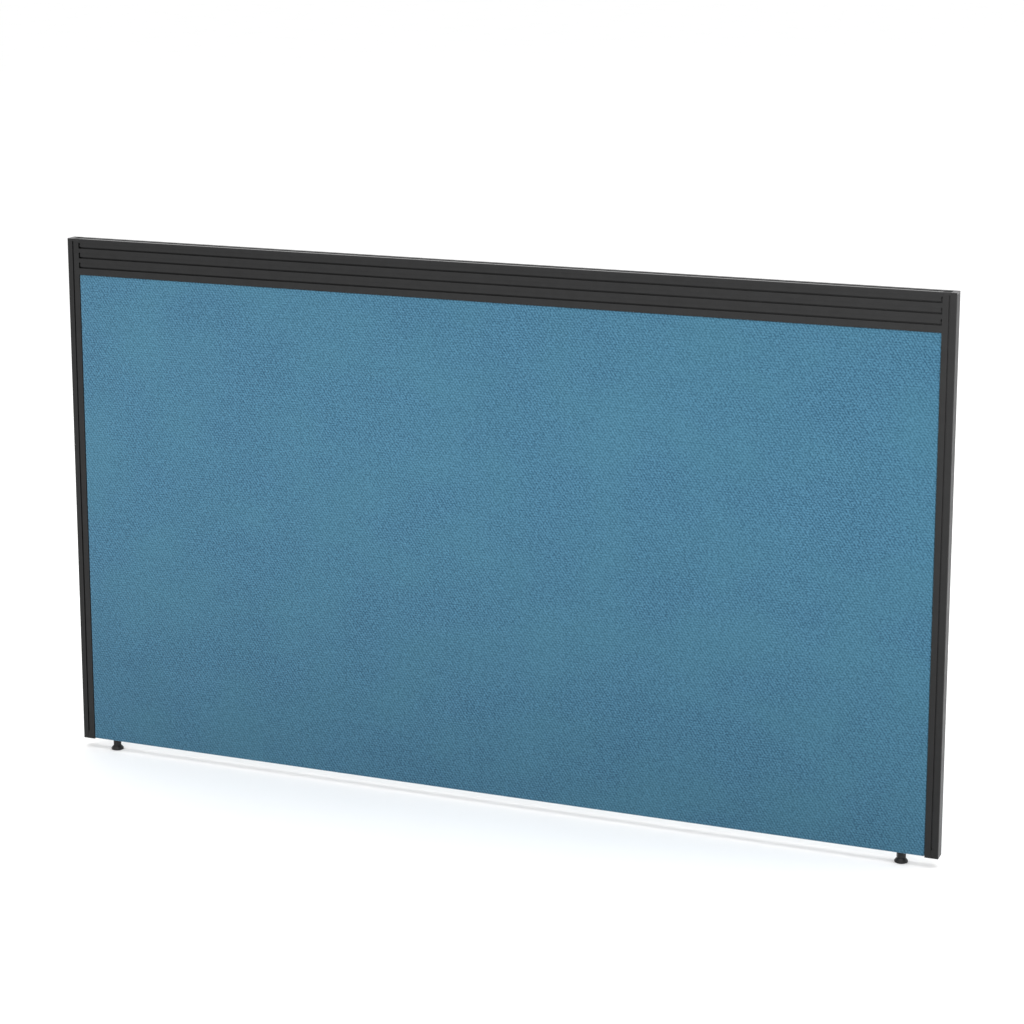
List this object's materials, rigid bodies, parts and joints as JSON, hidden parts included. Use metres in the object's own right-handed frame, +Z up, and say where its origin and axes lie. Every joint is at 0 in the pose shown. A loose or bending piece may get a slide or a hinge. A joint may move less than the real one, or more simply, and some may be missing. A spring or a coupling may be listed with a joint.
{
  "type": "desk privacy panel",
  "caption": "Fabric-covered screen panel in a black aluminium frame, with a slotted tool rail along its top and screw-in levelling feet.",
  "frame": {"origin": "on the floor, under the middle of the panel", "axes": "+X to the right along the panel as seen from the front, +Y through it from front to back, +Z up"},
  "size_m": [1.8, 0.028, 1.07],
  "materials": {
    "posts_black": "black powder coat on aluminium",
    "rail_black": "black powder coat on aluminium",
    "cap_black": "moulded black plastic",
    "screw_black": "blackened steel",
    "screw_zinc": "zinc plated steel",
    "mill_aluminium": "mill finish",
    "board": "raw particle board",
    "foam": "open-cell foam",
    "cloth_blue": "blue woven crepe",
    "insert_brass": "plain brass",
    "foot_black": "moulded black nylon",
    "sole_grey": "moulded rubber"
  },
  "bodies": {
    "frame": {"left_stile": "posts_black", "left_end_trim": "posts_black", "left_joining_strip": "posts_black", "left_stile_cap": "cap_black", "left_trim_cap": "cap_black", "left_bottom_cap": "cap_black", "left_foot_insert": "insert_brass", "right_stile": "posts_black", "right_end_trim": "posts_black", "right_joining_strip": "posts_black", "right_stile_cap": "cap_black", "right_trim_cap": "cap_black", "right_bottom_cap": "cap_black", "right_foot_insert": "insert_brass", "lock_screws": "screw_black", "tool_rail": "rail_black", "front_hook_bars": "rail_black", "back_hook_bars": "rail_black", "bottom_rail": "mill_aluminium", "rail_screws": "screw_zinc", "bottom_rail_screws": "screw_zinc", "core_board": "board", "front_foam": "foam", "back_foam": "foam", "front_cover": "cloth_blue", "back_cover": "cloth_blue"},
    "left_pad": {"left_foot_pad": "foot_black", "left_foot_sole": "sole_grey"},
    "left_screw": {"left_foot_collar": "foot_black", "left_foot_stud": "screw_zinc"},
    "right_pad": {"right_foot_pad": "foot_black", "right_foot_sole": "sole_grey"},
    "right_screw": {"right_foot_collar": "foot_black", "right_foot_stud": "screw_zinc"}
  },
  "joints": [
    {"name": "left_foot_height", "type": "slide", "parent": "frame", "child": "left_pad", "axis": [0, 0, -1], "range_m": [0, 0.0151]},
    {"name": "left_foot_turn", "type": "hinge", "parent": "left_pad", "child": "left_screw", "pos_m": [-0.8285, 0, 0.02], "axis": [0, 0, -1], "range_deg": [0, 4320]},
    {"name": "right_foot_height", "type": "slide", "parent": "frame", "child": "right_pad", "axis": [0, 0, -1], "range_m": [0, 0.0151]},
    {"name": "right_foot_turn", "type": "hinge", "parent": "right_pad", "child": "right_screw", "pos_m": [0.8285, 0, 0.02], "axis": [0, 0, -1], "range_deg": [0, 4320]}
  ],
  "couplings": [
    {"joint": "left_foot_height", "follows": "left_foot_turn", "m_per_rad": 0.00019894},
    {"joint": "right_foot_height", "follows": "right_foot_turn", "m_per_rad": 0.00019894}
  ]
}
